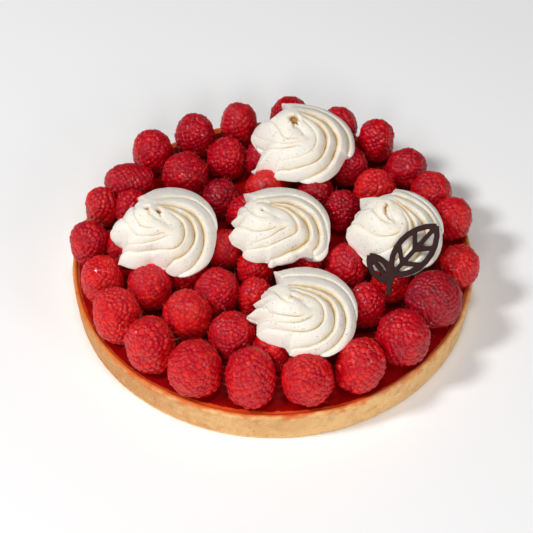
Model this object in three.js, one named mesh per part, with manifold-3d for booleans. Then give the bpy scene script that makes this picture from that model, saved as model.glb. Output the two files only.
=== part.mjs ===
// Raspberry tart with five piped cream rosettes and a chocolate sprig, in millimetres, +Z up.
// The origin is the middle of the flat underside, and the front of the tart is towards -Y.
import * as THREE from "three";
import { mergeVertices } from "three/addons/utils/BufferGeometryUtils.js";
import Module from "manifold-3d";

const wasm = await Module();
wasm.setup();

// Driving dimensions
const gap = 0.3;
const creamGap = 0.4;
const turnedSides = 60;
const crust = {
  baseRadius: 100, rimRadius: 101, height: 17.5, wall: 3.6, floor: 4,
  draft: 1, footBevel: 0.8, outerLip: 1.5, innerLip: 1.3,
};
const rimWave = { height: 0.35, lifts: [5, 11], radius: 0.3, swells: [4, 9] };
const jamLevel = 16;

// A raspberry's mesh, how uneven it is, and how it keeps off its neighbours and the rim
const berryShape = {
  around: 10, rings: 6, lowCorner: 0.6, bump: 0.03, bumpTurns: [2.4, 1.7, 3.5], spin: 0.7,
  neighbourRange: 6, rimSlope: 42, rimChord: 0.8, rimClear: 0.6,
};

// What all rosettes share: arms that wind outwards, and a skirt that pulls in below the widest line
const rosetteShape = {
  base: 32.5, arms: 8, steps: 8, twist: 165, coil: 4, fullness: 2, tiltHeading: 70,
  ridge: 2.3, ridgeGrowth: 1.6, ridgeLift: 0.7, liftFade: 0.6,
  armProfile: [0, 0.75, 1, 0.8], edgeProfile: [0, 1, 0.85, 0.55],
  skirt: [
    { width: 0.97, drop: 0.55, ridge: 0.9, wind: 6 },
    { width: 0.78, drop: 1, ridge: 0.4, wind: 9 },
  ],
};

// The sprig leans on the right rosette; its strokes are drawn in its own plane, from its foot
const sprig = {
  foot: [56.3, -36.5, 31], lean: 42.5, stroke: 2.7, thick: 1.4, veinShare: 0.8, curveSteps: 8,
  stem: [[0, 0], [-0.5, 6], [2, 10.4]],
  leaves: [
    { from: [1.6, 10], to: [22.5, 33], bow: 8, veins: [0.22, 0.5] },
    { from: [-0.3, 6.8], to: [-9.5, 18.8], bow: 3.8, veins: [] },
  ],
  bowAt: [0.2, 0.75], bowReach: 1.3, veinRun: 0.22,
};

// How far a corner may move when a cut solid is simplified
const tolerance = { cream: 0.03, chocolate: 0.01 };

const materials = {
  crust: new THREE.MeshStandardMaterial({ color: 0xdcae74, roughness: 0.85, metalness: 0 }),
  jam: new THREE.MeshStandardMaterial({ color: 0x8a0d0d, roughness: 0.12, metalness: 0 }),
  berry: new THREE.MeshStandardMaterial({ color: 0xb3141f, roughness: 0.5, metalness: 0 }),
  cream: new THREE.MeshStandardMaterial({ color: 0xf4ede0, roughness: 0.6, metalness: 0 }),
  chocolate: new THREE.MeshStandardMaterial({ color: 0x3b2422, roughness: 0.4, metalness: 0 }),
};

// Each raspberry: x, y, width, height, and for a tilted one its lean and the heading of its tip
const outerRing = [
  [-10, -84, 24.5, 27], [16.5, -85, 26, 23], [42, -77, 24, 25], [62, -61, 27, 26],
  [77.5, -38, 29, 25, 40, -100], [92, -14, 21, 21.5], [91, 18.5, 21, 22.5], [81, 36, 22.5, 23],
  [69.5, 53, 22, 24, 20, -60], [54.5, 74.5, 20, 25], [34.5, 84.5, 21.5, 24], [8.5, 92, 22, 24.5],
  [-18.5, 87.5, 21, 24], [-42, 79, 22, 24], [-64, 66.5, 22, 24], [-75, 43, 21.5, 26, 75, 190],
  [-87.5, 27, 18.5, 21], [-92, 1.5, 21, 22.5], [-84, -22, 21.5, 22], [-75, -46.5, 24.5, 25.5],
  [-58, -65.5, 24.5, 28, 15, -70], [-36, -80, 27, 26],
];
const innerField = [
  [-60, -28, 23, 22.5], [-41, -47, 25, 24], [-19, -58.5, 24, 22], [0, -67, 20, 21],
  [45, -40, 20.5, 22.5], [58, -23.5, 20.5, 21], [52.5, 37.5, 23.5, 23], [40, 57, 20, 21],
  [35, 25, 19.5, 20.5], [22, 36, 19.5, 21], [-4, 38.5, 21.5, 22], [-6, 62, 19.5, 21],
  [-24.5, 62.5, 21.5, 22], [-46, 48, 24.5, 24.5], [-27, 34, 19.5, 20], [-14.5, 21.5, 19.5, 20.5],
  [-25, -2.5, 20, 21], [-27, -31.5, 24, 23], [-8.5, -14, 19, 20], [-8.5, -33.5, 18.5, 20],
  [-42, -18, 20, 20.5], [36, -14.5, 22.5, 22], [16.5, -9, 20, 20.5], [-74.5, 0, 19, 21],
  [-72.5, 26, 19.5, 20.5],
];

// One raspberry under the middle of each rosette, as the layer of fruit goes on below the cream
const underCream = [
  [-50, 14, 23, 20], [8, 15, 20, 20], [17, -38, 22, 20], [64, 6, 21, 20], [17, 68, 21, 20],
];

// Each rosette: its middle, radius, the height of its widest line and how far that line tilts up
// at the back, the two ends of its crest measured from the middle, and where its first arm starts
const rosettes = [
  { name: "cream_left", at: [-53, -4.5], radius: 26.5, mid: 40.8, tilt: 4.8,
    tip: [-6, 0, 57], low: [1.5, -5, 52], turn: 20 },
  { name: "cream_front", at: [14, -54.5], radius: 26.4, mid: 38.8, tilt: 2.8,
    tip: [-4, -2, 53], low: [2.7, -5.5, 49], turn: 5 },
  { name: "cream_middle", at: [3.6, 0.5], radius: 25, mid: 38.5, tilt: 2.5,
    tip: [-8, -0.5, 53], low: [-1, -4, 50], turn: 12 },
  { name: "cream_right", at: [59.3, -5], radius: 24.2, mid: 41.2, tilt: 5.2,
    tip: [-3.6, 2.5, 59], low: [0, -4.3, 54], turn: 30 },
  { name: "cream_back", at: [15.3, 60.5], radius: 27.2, mid: 38, tilt: 2,
    tip: [-4.6, 3, 56], low: [0.5, -4.5, 50], turn: 0 },
];

const radians = THREE.MathUtils.degToRad;
const mix = THREE.MathUtils.lerp;
const fullTurn = 2 * Math.PI;

// Keep only the corners and the faces, with corners that coincide made one
function bare(geometry) {
  const copy = geometry.clone();
  copy.deleteAttribute("normal");
  copy.deleteAttribute("uv");
  return mergeVertices(copy, 1e-3);
}

function toSolid(geometry) {
  const merged = bare(geometry);
  return new wasm.Manifold(new wasm.Mesh({
    numProp: 3,
    vertProperties: new Float32Array(merged.attributes.position.array),
    triVerts: new Uint32Array(merged.index.array),
  }));
}

function fromSolid(solid) {
  const mesh = solid.getMesh();
  const geometry = new THREE.BufferGeometry();
  geometry.setAttribute("position", new THREE.BufferAttribute(new Float32Array(mesh.vertProperties), 3));
  geometry.setIndex(new THREE.BufferAttribute(new Uint32Array(mesh.triVerts), 1));
  return geometry;
}

// The largest of the bodies that a cut leaves
function mainBody(solid) {
  const bodies = solid.decompose();
  bodies.sort((one, other) => other.volume() - one.volume());
  return bodies[0];
}

function piece(name, geometry, material) {
  geometry.computeVertexNormals();
  const mesh = new THREE.Mesh(geometry, material);
  mesh.name = name;
  return mesh;
}

// A solid of revolution about Z from points that hold a radius and a height
function turned(profile) {
  const outline = profile.map(([radius, z]) => new THREE.Vector2(radius, z));
  return bare(new THREE.LatheGeometry(outline, turnedSides).rotateX(Math.PI / 2));
}

// A closed surface from rows of points, all rows alike in count, with one point at either end
function loftRings(start, rings, end) {
  const around = rings[0].length;
  const last = rings.length - 1;
  const points = [start, ...rings.flat(), end];
  const faces = [];
  const corner = (row, column) => 1 + row * around + (column % around);
  for (let column = 0; column < around; column += 1) {
    faces.push(0, corner(0, column), corner(0, column + 1));
    for (let row = 0; row < last; row += 1) {
      const here = corner(row, column);
      const beside = corner(row, column + 1);
      const below = corner(row + 1, column);
      const across = corner(row + 1, column + 1);
      if (points[here].distanceTo(points[across]) <= points[below].distanceTo(points[beside])) {
        faces.push(here, below, across, here, across, beside);
      } else {
        faces.push(here, below, beside, below, across, beside);
      }
    }
    faces.push(points.length - 1, corner(last, column + 1), corner(last, column));
  }
  const geometry = new THREE.BufferGeometry();
  const flat = points.flatMap((point) => [point.x, point.y, point.z]);
  geometry.setAttribute("position", new THREE.BufferAttribute(new Float32Array(flat), 3));
  geometry.setIndex(faces);
  return geometry;
}

// The inner side of the shell's wall at a height
function innerRadius(z) {
  const { rimRadius, wall, draft, floor, height, innerLip } = crust;
  return rimRadius - wall - draft * (1 - (z - floor) / (height - innerLip - floor));
}

// A quarter round of the rim, from one angle to another, in degrees
function quarterRound(radius, z, bend, from, to) {
  return [from, (from + to) / 2, to].map((angle) => [
    radius + bend * Math.cos(radians(angle)),
    z + bend * Math.sin(radians(angle)),
  ]);
}

// The shell: floor and flared wall turned in one, with a rounded rim that waves a little
function buildCrust() {
  const { baseRadius, rimRadius, height, wall, floor, footBevel, outerLip, innerLip } = crust;
  const inner = rimRadius - wall;
  const geometry = turned([
    [0, 0],
    [baseRadius - footBevel, 0],
    [baseRadius, footBevel],
    ...quarterRound(rimRadius - outerLip, height - outerLip, outerLip, 0, 90),
    ...quarterRound(inner + innerLip, height - innerLip, innerLip, 90, 180),
    [innerRadius(floor), floor],
    [0, floor],
  ]);
  const wave = (angle, [slow, fast]) => (Math.sin(slow * angle + 1) + Math.sin(fast * angle)) / 2;
  const position = geometry.attributes.position;
  for (let i = 0; i < position.count; i += 1) {
    const [x, y, z] = [position.getX(i), position.getY(i), position.getZ(i)];
    const radius = Math.hypot(x, y);
    const angle = Math.atan2(y, x);
    if (z > height / 2) {
      position.setZ(i, z + rimWave.height * wave(angle, rimWave.lifts) * (z / height));
    }
    if (radius > inner + wall / 3 && z > 0) {
      const swell = 1 + rimWave.radius * wave(angle, rimWave.swells) / radius;
      position.setX(i, x * swell);
      position.setY(i, y * swell);
    }
  }
  return geometry;
}

// The filling up to its glazed top, clear of the shell
function buildFilling() {
  const low = crust.floor + gap;
  return turned([
    [0, low],
    [innerRadius(low) - creamGap, low],
    [innerRadius(jamLevel) - creamGap, jamLevel],
    [0, jamLevel],
  ]);
}

// A raspberry stands on its wide end: nearly upright below, domed above
function layBerry([x, y, width, height, lean = 0, heading = 0], index) {
  const wide = width / 2;
  const half = height / 2;
  const tilt = radians(lean);
  const reach = Math.hypot(half * Math.cos(tilt), wide * Math.sin(tilt));
  const centre = new THREE.Vector3(x, y, jamLevel + gap + reach);
  const axis = new THREE.Vector3(Math.sin(tilt), 0, Math.cos(tilt));
  axis.applyAxisAngle(new THREE.Vector3(0, 0, 1), radians(heading));
  return { centre, axis, wide, half, spin: index * berryShape.spin, size: (wide + reach) / 2 };
}

// The planes that keep a berry off its neighbours, the jam and the rim: normal and distance
function berryWalls(berry, all) {
  const { neighbourRange, rimSlope, rimChord, rimClear } = berryShape;
  const walls = [];
  for (const other of all) {
    const away = other.centre.clone().sub(berry.centre);
    const distance = away.length();
    if (other !== berry && distance < berry.size + other.size + neighbourRange) {
      const share = (distance + (berry.size ** 2 - other.size ** 2) / distance) / 2;
      away.divideScalar(distance);
      walls.push([away, away.dot(berry.centre) + share - gap / 2]);
    }
  }
  const bottom = jamLevel + gap;
  walls.push([new THREE.Vector3(0, 0, -1), -bottom]);
  const inner = crust.rimRadius - crust.wall - gap;
  const edge = Math.sqrt(inner ** 2 - (berry.wide * rimChord) ** 2) - rimClear;
  const outward = berry.centre.clone().setZ(0).normalize();
  const overRim = outward.clone().multiplyScalar(Math.sin(radians(rimSlope)));
  overRim.setZ(-Math.cos(radians(rimSlope)));
  walls.push([overRim, overRim.dot(outward.multiplyScalar(edge).setZ(bottom))]);
  return walls;
}

// One drupelet for each corner, rows set half a step apart, and every corner kept inside the walls
function berryGeometry(berry, walls, grow = 0) {
  const { around, rings, bump, bumpTurns, lowCorner } = berryShape;
  const turn = new THREE.Quaternion().setFromUnitVectors(new THREE.Vector3(0, 0, 1), berry.axis);
  const place = (side, along, angle, swell) => {
    const point = new THREE.Vector3(side * Math.cos(angle), side * Math.sin(angle), along);
    point.multiplyScalar(1 + swell).applyQuaternion(turn);
    let scale = 1;
    for (const [normal, distance] of walls) {
      const reach = normal.dot(point);
      const room = distance - normal.dot(berry.centre);
      if (reach > room) {
        scale = Math.min(scale, room / reach);
      }
    }
    point.multiplyScalar(scale);
    point.multiplyScalar(1 + grow / point.length());
    return point.add(berry.centre);
  };
  const rows = [];
  for (let ring = 1; ring <= rings; ring += 1) {
    const polar = Math.PI * ring / (rings + 1);
    const power = polar > Math.PI / 2 ? lowCorner : 1;
    const side = berry.wide * Math.sin(polar) ** power;
    const along = berry.half * Math.sign(Math.cos(polar)) * Math.abs(Math.cos(polar)) ** power;
    const row = [];
    for (let step = 0; step < around; step += 1) {
      const angle = berry.spin + (step + (ring % 2) / 2) * fullTurn / around;
      const phase = step * bumpTurns[0] + ring * bumpTurns[1] + berry.spin * bumpTurns[2];
      row.push(place(side, along, angle, bump * Math.sin(phase)));
    }
    rows.push(row);
  }
  return loftRings(place(0, berry.half, 0, 0), rows, place(0, -berry.half, 0, 0));
}

// A rosette: a low dome with arms that wind clockwise from a crest out to its edge
function rosetteGeometry({ at, radius, mid, tilt, tip, low, turn }) {
  const shape = rosetteShape;
  const columns = shape.arms * shape.armProfile.length;
  const crest = new THREE.Vector2(tip[0] - low[0], tip[1] - low[1]);
  const heading = crest.angle();
  const half = crest.length() / 2;
  const fall = (tip[2] - low[2]) / 2;
  const crown = new THREE.Vector3(...tip).add(new THREE.Vector3(...low)).multiplyScalar(0.5);
  const ringAt = (out, width, drop, depth, wind) => {
    const row = [];
    for (let column = 0; column < columns; column += 1) {
      const angle = radians(turn) + column * fullTurn / columns - wind;
      const part = column % shape.armProfile.length;
      const lobe = mix(shape.armProfile[part], shape.edgeProfile[part], out ** 2) - 1;
      const towardsTip = Math.cos(angle - heading);
      const along = half * towardsTip * (1 - out);
      const reach = width + lobe * depth;
      const x = at[0] + crown.x * (1 - out) + along * Math.cos(heading) + reach * Math.cos(angle);
      const y = at[1] + crown.y * (1 - out) + along * Math.sin(heading) + reach * Math.sin(angle);
      const widest = mid + tilt * Math.cos(angle - radians(shape.tiltHeading));
      const highest = crown.z + fall * towardsTip;
      const dome = widest + (highest - widest) * (1 - out ** shape.fullness);
      const lift = lobe * depth * shape.ridgeLift * (1 - out * shape.liftFade) * (1 - drop);
      row.push(new THREE.Vector3(x, y, mix(dome, shape.base, drop) + lift));
    }
    return row;
  };
  const rows = [];
  for (let step = 1; step <= shape.steps; step += 1) {
    const out = step / shape.steps;
    const wind = radians(shape.twist) * Math.log(1 + shape.coil * out) / Math.log(1 + shape.coil);
    rows.push(ringAt(out, radius * out, 0, shape.ridge * Math.min(1, out * shape.ridgeGrowth), wind));
  }
  for (const { width, drop, ridge, wind } of shape.skirt) {
    rows.push(ringAt(1, radius * width, drop, shape.ridge * ridge, radians(shape.twist + wind)));
  }
  const peak = new THREE.Vector3(at[0] + crown.x, at[1] + crown.y, crown.z);
  return loftRings(peak, rows, new THREE.Vector3(at[0], at[1], shape.base));
}

function sprigPlane() {
  const lean = radians(sprig.lean);
  const plane = new THREE.Matrix4().makeBasis(
    new THREE.Vector3(1, 0, 0),
    new THREE.Vector3(0, Math.sin(lean), Math.cos(lean)),
    new THREE.Vector3(0, -Math.cos(lean), Math.sin(lean)),
  );
  return plane.setPosition(...sprig.foot);
}

// A flat bar along a curve, grown on every side by the same amount
function stroke(curve, grow) {
  const straight = curve instanceof THREE.LineCurve;
  const width = sprig.stroke * (straight ? sprig.veinShare : 1) + grow * 2;
  const steps = straight ? 1 : sprig.curveSteps;
  const left = [];
  const right = [];
  for (let i = 0; i <= steps; i += 1) {
    const point = curve.getPoint(i / steps);
    const along = curve.getTangent(i / steps);
    const side = new THREE.Vector2(-along.y, along.x).multiplyScalar(width / 2);
    left.push(point.clone().add(side));
    right.unshift(point.clone().sub(side));
  }
  const shape = new THREE.Shape([...left, ...right]);
  const bar = new THREE.ExtrudeGeometry(shape, {
    depth: sprig.thick + grow * 2, bevelEnabled: false, steps: 1,
  });
  return bar.translate(0, 0, -grow);
}

// A leaf: two bowed edges, a midrib, and veins that run out from the midrib to the edges
function leafCurves({ from, to, bow, veins }) {
  const start = new THREE.Vector2(...from);
  const end = new THREE.Vector2(...to);
  const along = end.clone().sub(start);
  const across = new THREE.Vector2(-along.y, along.x).normalize();
  const bowPoint = (share, side) => start.clone()
    .addScaledVector(along, share)
    .addScaledVector(across, side * bow * sprig.bowReach);
  const edge = (side) => new THREE.CubicBezierCurve(
    start, bowPoint(sprig.bowAt[0], side), bowPoint(sprig.bowAt[1], side), end);
  const curves = [edge(1), edge(-1), new THREE.LineCurve(start, end)];
  for (const side of [1, -1]) {
    for (const share of veins) {
      const root = start.clone().addScaledVector(along, share);
      curves.push(new THREE.LineCurve(root, edge(side).getPoint(share + sprig.veinRun)));
    }
  }
  return curves;
}

function buildSprig(grow = 0) {
  const stem = new THREE.QuadraticBezierCurve(...sprig.stem.map((point) => new THREE.Vector2(...point)));
  const curves = [stem, ...sprig.leaves.flatMap(leafCurves)];
  const solid = curves.map((curve) => toSolid(stroke(curve, grow))).reduce((sum, next) => sum.add(next));
  return solid.simplify(tolerance.chocolate).transform(sprigPlane().elements);
}

// A rosette with the fruit below it and the sprig cut out of it, a gap clear of both
function buildRosette(one, berries, sprigRoom) {
  let solid = toSolid(rosetteGeometry(one));
  for (const berry of berries) {
    const away = Math.hypot(berry.centre.x - one.at[0], berry.centre.y - one.at[1]);
    if (away < one.radius + berry.wide + creamGap) {
      solid = solid.subtract(toSolid(berryGeometry(berry, berryWalls(berry, berries), creamGap)));
    }
  }
  return mainBody(solid.subtract(sprigRoom)).simplify(tolerance.cream);
}

const tart = new THREE.Group();
tart.name = "raspberry_tart";
tart.add(piece("crust", buildCrust(), materials.crust));
tart.add(piece("filling", buildFilling(), materials.jam));

const berries = [...outerRing, ...innerField, ...underCream].map(layBerry);
berries.forEach((berry, index) => {
  const name = "raspberry_" + String(index + 1).padStart(2, "0");
  tart.add(piece(name, berryGeometry(berry, berryWalls(berry, berries)), materials.berry));
});

const sprigRoom = buildSprig(gap);
for (const one of rosettes) {
  tart.add(piece(one.name, fromSolid(buildRosette(one, berries, sprigRoom)), materials.cream));
}
tart.add(piece("chocolate_sprig", fromSolid(buildSprig()), materials.chocolate));

export default tart;
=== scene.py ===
# Raspberry tart with piped cream: the looks of every piece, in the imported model's frame
import math
import bpy
import numpy as np
from mathutils import Matrix, Vector, kdtree, noise


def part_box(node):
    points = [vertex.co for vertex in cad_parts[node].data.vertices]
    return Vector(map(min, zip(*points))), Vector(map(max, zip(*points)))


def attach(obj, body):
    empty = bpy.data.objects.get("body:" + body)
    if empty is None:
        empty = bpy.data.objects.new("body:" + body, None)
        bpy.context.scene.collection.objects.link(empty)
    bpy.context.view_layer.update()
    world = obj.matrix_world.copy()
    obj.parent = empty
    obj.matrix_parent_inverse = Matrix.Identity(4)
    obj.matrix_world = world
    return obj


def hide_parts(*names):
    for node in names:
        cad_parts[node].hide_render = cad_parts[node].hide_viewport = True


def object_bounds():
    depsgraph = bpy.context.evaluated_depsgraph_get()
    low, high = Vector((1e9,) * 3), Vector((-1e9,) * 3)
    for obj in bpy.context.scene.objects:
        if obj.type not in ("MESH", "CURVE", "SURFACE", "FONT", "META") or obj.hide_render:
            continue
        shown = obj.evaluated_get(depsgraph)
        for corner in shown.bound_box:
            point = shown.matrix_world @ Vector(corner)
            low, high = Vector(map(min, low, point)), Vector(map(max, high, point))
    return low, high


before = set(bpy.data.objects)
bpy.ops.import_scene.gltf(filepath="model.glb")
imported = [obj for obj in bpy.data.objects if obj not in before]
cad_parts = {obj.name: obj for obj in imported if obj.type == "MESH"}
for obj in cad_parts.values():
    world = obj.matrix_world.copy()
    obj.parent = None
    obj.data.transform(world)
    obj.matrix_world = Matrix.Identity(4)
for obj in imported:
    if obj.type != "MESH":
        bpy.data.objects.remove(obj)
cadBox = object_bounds()

mm = 0.001
fullTurn = 2 * math.pi
berryNodes = sorted(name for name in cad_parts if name.startswith("raspberry_"))


# Short ways to build node trees, for materials and for Geometry Nodes

def linearColour(red, green, blue):  # from 0-255 screen values
    parts = []
    for value in (red, green, blue):
        share = value / 255
        parts.append(share / 12.92 if share <= 0.04045 else ((share + 0.055) / 1.055) ** 2.4)
    return (*parts, 1.0)


class Bench:  # one node tree and what is added to it
    def __init__(self, tree):
        self.tree = tree

    def feed(self, socket, value):
        if isinstance(value, bpy.types.NodeSocket):
            self.tree.links.new(value, socket)
        else:
            socket.default_value = value

    def add(self, kind, inputs=None, **settings):
        node = self.tree.nodes.new(kind)
        for setting, value in settings.items():
            setattr(node, setting, value)
        for socket, value in (inputs or {}).items():
            self.feed(node.inputs[socket], value)
        return node

    def make(self, kind, inputs=None, **settings):  # a node of which the first output is used
        return self.add(kind, inputs, **settings).outputs[0]

    def math(self, operation, *values):
        return self.make("ShaderNodeMath", dict(enumerate(values)), operation=operation)

    def times(self, *values):
        product = values[0]
        for value in values[1:]:
            product = self.math("MULTIPLY", product, value)
        return product

    def vector(self, operation, *values):
        node = self.add("ShaderNodeVectorMath", dict(enumerate(values)), operation=operation)
        return node.outputs["Value" if operation == "LENGTH" else "Vector"]

    def scaled(self, vector, factor):
        return self.make("ShaderNodeVectorMath", {0: vector, "Scale": factor}, operation="SCALE")

    def combine(self, x=0.0, y=0.0, z=0.0):
        return self.make("ShaderNodeCombineXYZ", {0: x, 1: y, 2: z})

    def split(self, vector):
        return self.add("ShaderNodeSeparateXYZ", {0: vector}).outputs

    def remap(self, value, low, high, toLow=0.0, toHigh=1.0):  # with soft ends
        return self.make("ShaderNodeMapRange", {
            "Value": value, "From Min": low, "From Max": high, "To Min": toLow, "To Max": toHigh},
            interpolation_type="SMOOTHSTEP")

    def noise(self, place, scale, detail=2.0, roughness=0.5):
        return self.make("ShaderNodeTexNoise", {
            "Vector": place, "Scale": scale, "Detail": detail, "Roughness": roughness})

    def attribute(self, name):
        return self.add("ShaderNodeAttribute", attribute_name=name).outputs["Fac"]

    def bump(self, height, strength, distance):
        return self.make("ShaderNodeBump", {
            "Height": height, "Strength": strength, "Distance": distance})

    def paint(self, look, ground, *coats):  # a ground colour, then each coat by its share
        colour = linearColour(*look[ground])
        for share, tint in coats:
            node = self.add("ShaderNodeMix", {0: share, 6: colour, 7: linearColour(*look[tint])},
                            data_type="RGBA")
            colour = node.outputs[2]
        return colour

    def random(self, low, high, seed):  # for each point, a number or a vector
        if isinstance(low, tuple):
            return self.make("FunctionNodeRandomValue", {0: low, 1: high, "Seed": seed},
                             data_type="FLOAT_VECTOR")
        return self.add("FunctionNodeRandomValue", {2: low, 3: high, "Seed": seed},
                        data_type="FLOAT").outputs[1]

    def store(self, geometry, name, value, domain="POINT"):
        return self.make("GeometryNodeStoreNamedAttribute", {
            "Geometry": geometry, "Name": name, "Value": value}, data_type="FLOAT", domain=domain)

    def realize(self, geometry):
        return self.make("GeometryNodeRealizeInstances", {"Geometry": geometry})

    def smooth(self, geometry):
        return self.make("GeometryNodeSetShadeSmooth", {"Geometry": geometry})


def startMaterial(name, surface):  # a principled surface, and the place that its patterns read
    material = bpy.data.materials.new(name)
    material.use_nodes = True
    bench = Bench(material.node_tree)
    shader = material.node_tree.nodes["Principled BSDF"]
    for socket, value in surface.items():
        shader.inputs[socket].default_value = value
    place = bench.add("ShaderNodeTexCoord").outputs["Object"]
    return material, bench, shader, place


def twoToneMaterial(name, look):  # for pieces too small to show more
    material, bench, shader, place = startMaterial(name, look["surface"])
    tint = bench.remap(bench.noise(place, look["scale"], 1), 0.35, 0.65)
    bench.feed(shader.inputs["Base Color"], bench.paint(look, "dark", (tint, "pale")))
    return material


def startTree(name, sockets):
    tree = bpy.data.node_groups.new(name, "GeometryNodeTree")
    tree.interface.new_socket("Geometry", in_out="OUTPUT", socket_type="NodeSocketGeometry")
    for label, kind in sockets.items():
        tree.interface.new_socket(label, in_out="INPUT", socket_type="NodeSocket" + kind)
    bench = Bench(tree)
    return bench, bench.add("NodeGroupInput").outputs


def endTree(bench, geometry, material):
    finished = bench.make("GeometryNodeSetMaterial", {
        "Geometry": bench.realize(geometry), "Material": material})
    bench.add("NodeGroupOutput", {"Geometry": finished})
    return bench.tree


def growPiece(name, tree, values):  # run a tree and keep its result as a plain mesh
    piece = bpy.data.objects.new(name, bpy.data.meshes.new(name))
    bpy.context.scene.collection.objects.link(piece)
    grower = piece.modifiers.new("grow", "NODES")
    grower.node_group = tree
    for item in tree.interface.items_tree:
        if item.in_out == "INPUT" and item.name in values:
            grower[item.identifier] = values[item.name]
    graph = bpy.context.evaluated_depsgraph_get()
    mesh = bpy.data.meshes.new_from_object(
        piece.evaluated_get(graph), preserve_all_data_layers=True, depsgraph=graph)
    piece.modifiers.remove(grower)
    piece.data = mesh
    return piece


def gather(name, pieces):  # a collection that a tree can read as one geometry
    group = bpy.data.collections.new(name)
    bpy.context.scene.collection.children.link(group)
    for piece in pieces:
        group.objects.link(piece)
    return group


# Short ways to build meshes from rings of points

def polar(radius, turn, height):
    return np.stack([radius * np.cos(turn), radius * np.sin(turn), height], -1)


def withPoles(tones, last=0.0):  # a tone for each ring's points, and one for each pole
    return np.concatenate([[0], tones.ravel(), [last]])


def ringFaces(rings, columns):  # a first pole, rings of points that widen and close, a last pole
    faces = []
    last = 1 + rings * columns
    for column in range(columns):
        beside = (column + 1) % columns
        faces.append((0, 1 + column, 1 + beside))
        for ring in range(rings - 1):
            near = 1 + ring * columns
            far = near + columns
            faces.append((near + column, far + column, far + beside, near + beside))
        outer = last - columns
        faces.append((outer + column, last, outer + beside))
    return faces


def makePiece(name, points, faces, material, tones):  # points in mm
    mesh = bpy.data.meshes.new(name)
    mesh.from_pydata((points * mm).tolist(), [], faces)
    mesh.shade_smooth()
    for tone, values in tones.items():
        layer = mesh.attributes.new(tone, "FLOAT", "POINT")
        layer.data.foreach_set("value", values.astype(np.float32))
    mesh.materials.append(material)
    mesh.validate()
    piece = bpy.data.objects.new(name, mesh)
    bpy.context.scene.collection.objects.link(piece)
    return piece


def settle(piece, slot, *nodes):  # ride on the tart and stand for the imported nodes
    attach(piece, "root")
    if nodes:
        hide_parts(*nodes)
    return piece


def smoothStep(value, low, high):
    share = np.clip((value - low) / (high - low), 0, 1)
    return share * share * (3 - 2 * share)


def turnGap(angles, middle):  # degrees from the middle, from -180 to 180
    return (angles - middle + 180) % 360 - 180


def bell(angles, middle, width, power=2):  # 1 at the middle, falling off to both sides
    return np.exp(-(turnGap(angles, middle) / width) ** power)


def grainAt(points, size, octaves=3):  # seeded by place: the same points give the same grain
    grain = [noise.fractal(Vector(point), 1.0, 2.0, octaves)
             for point in points.reshape(-1, 3) / size]
    return np.array(grain).reshape(points.shape[:-1])


# Pastry shell

crustSettings = {  # mm, and counts
    "baseRadius": 100, "rimRadius": 101, "height": 17.5, "wall": 3.6, "floor": 4,
    "footBevel": 0.8, "outerLip": 1.5, "innerLip": 1.3, "innerDrop": 1.0,
    "underRings": (30, 70, 96), "floorRing": 60,     # radii of the rings below and inside
    "innerWall": ((0.3, 12), (0.6, 8), (0.9, 4)),    # how far in from the lip, and how high
    "columns": 1200, "wallRows": 30, "lipSteps": 6, "footSteps": 3,
    "waveHeight": 0.35, "waveLifts": (5, 11),        # slow waves, and how many go round
    "waveRadius": 0.3, "waveSwells": (4, 9),
    "lump": 0.22, "lumpSize": 5.0, "sand": 0.11, "sandSize": 1.1, "inset": 0.2,
    "topLump": 0.16, "topSand": 0.07,
    "chip": 0.5, "chipSize": 3.2,                    # crumbled bits along the foot
    "look": {
        "surface": {"Roughness": 0.82, "Subsurface Weight": 0.12, "Subsurface Scale": 1.2 * mm,
                    "Subsurface Radius": (0.9, 0.5, 0.25)},
        "pale": (249, 200, 134), "baked": (206, 142, 80), "brown": (180, 108, 52),
        "rim": (226, 112, 30), "glaze": (196, 56, 8), "crumb": (250, 216, 166),
        "broadScale": 34, "mottleScale": 120, "flourScale": 260, "sandScale": 1500,
        "bake": 0.14, "brownBake": 0.85, "brownSide": 208, "brownWidth": 42,  # sides in degrees
        # paler towards the right front: partly a paler bake, partly painted light where the lamp from
        # the front right falls
        "paleBakeAndLight": -0.14, "paleSide": 325, "paleWidth": 36,
        "stainAt": -97, "stainWidth": 26,  # where the glaze colours the rim most
    },
}


def crustMaterial():
    look = crustSettings["look"]
    material, bench, shader, place = startMaterial("sweet pastry", look["surface"])
    mottle = bench.noise(place, look["mottleScale"], 4, 0.62)
    broad = bench.noise(place, look["broadScale"], 3)
    sand = bench.noise(place, look["sandScale"], 2, 0.7)
    flour = bench.noise(place, look["flourScale"], 3, 0.6)
    bake = bench.math("ADD", bench.attribute("bake"), bench.remap(broad, 0.3, 0.75, -0.16, 0.2))
    rim = bench.times(bench.attribute("rim"), bench.remap(mottle, 0.25, 0.65, 0.6, 1.0))
    stain = bench.times(bench.attribute("stain"), bench.remap(broad, 0.3, 0.6, 0.5, 1.0))
    bench.feed(shader.inputs["Base Color"], bench.paint(
        look, "pale", (bench.remap(bake, 0.0, 1.0), "baked"),
        (bench.remap(mottle, 0.5, 0.72, 0.0, 0.55), "baked"),
        (bench.remap(flour, 0.52, 0.68, 0.0, 0.35), "crumb"),
        (bench.remap(flour, 0.44, 0.3, 0.0, 0.3), "brown"),
        (bench.remap(sand, 0.56, 0.7, 0.0, 0.5), "crumb"),
        (bench.remap(sand, 0.44, 0.32, 0.0, 0.4), "brown"),
        (rim, "rim"), (stain, "glaze")))
    relief = bench.math("ADD", sand, bench.times(mottle, 1.4))
    bench.feed(shader.inputs["Normal"], bench.bump(relief, 0.55, 0.5 * mm))
    return material


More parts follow.
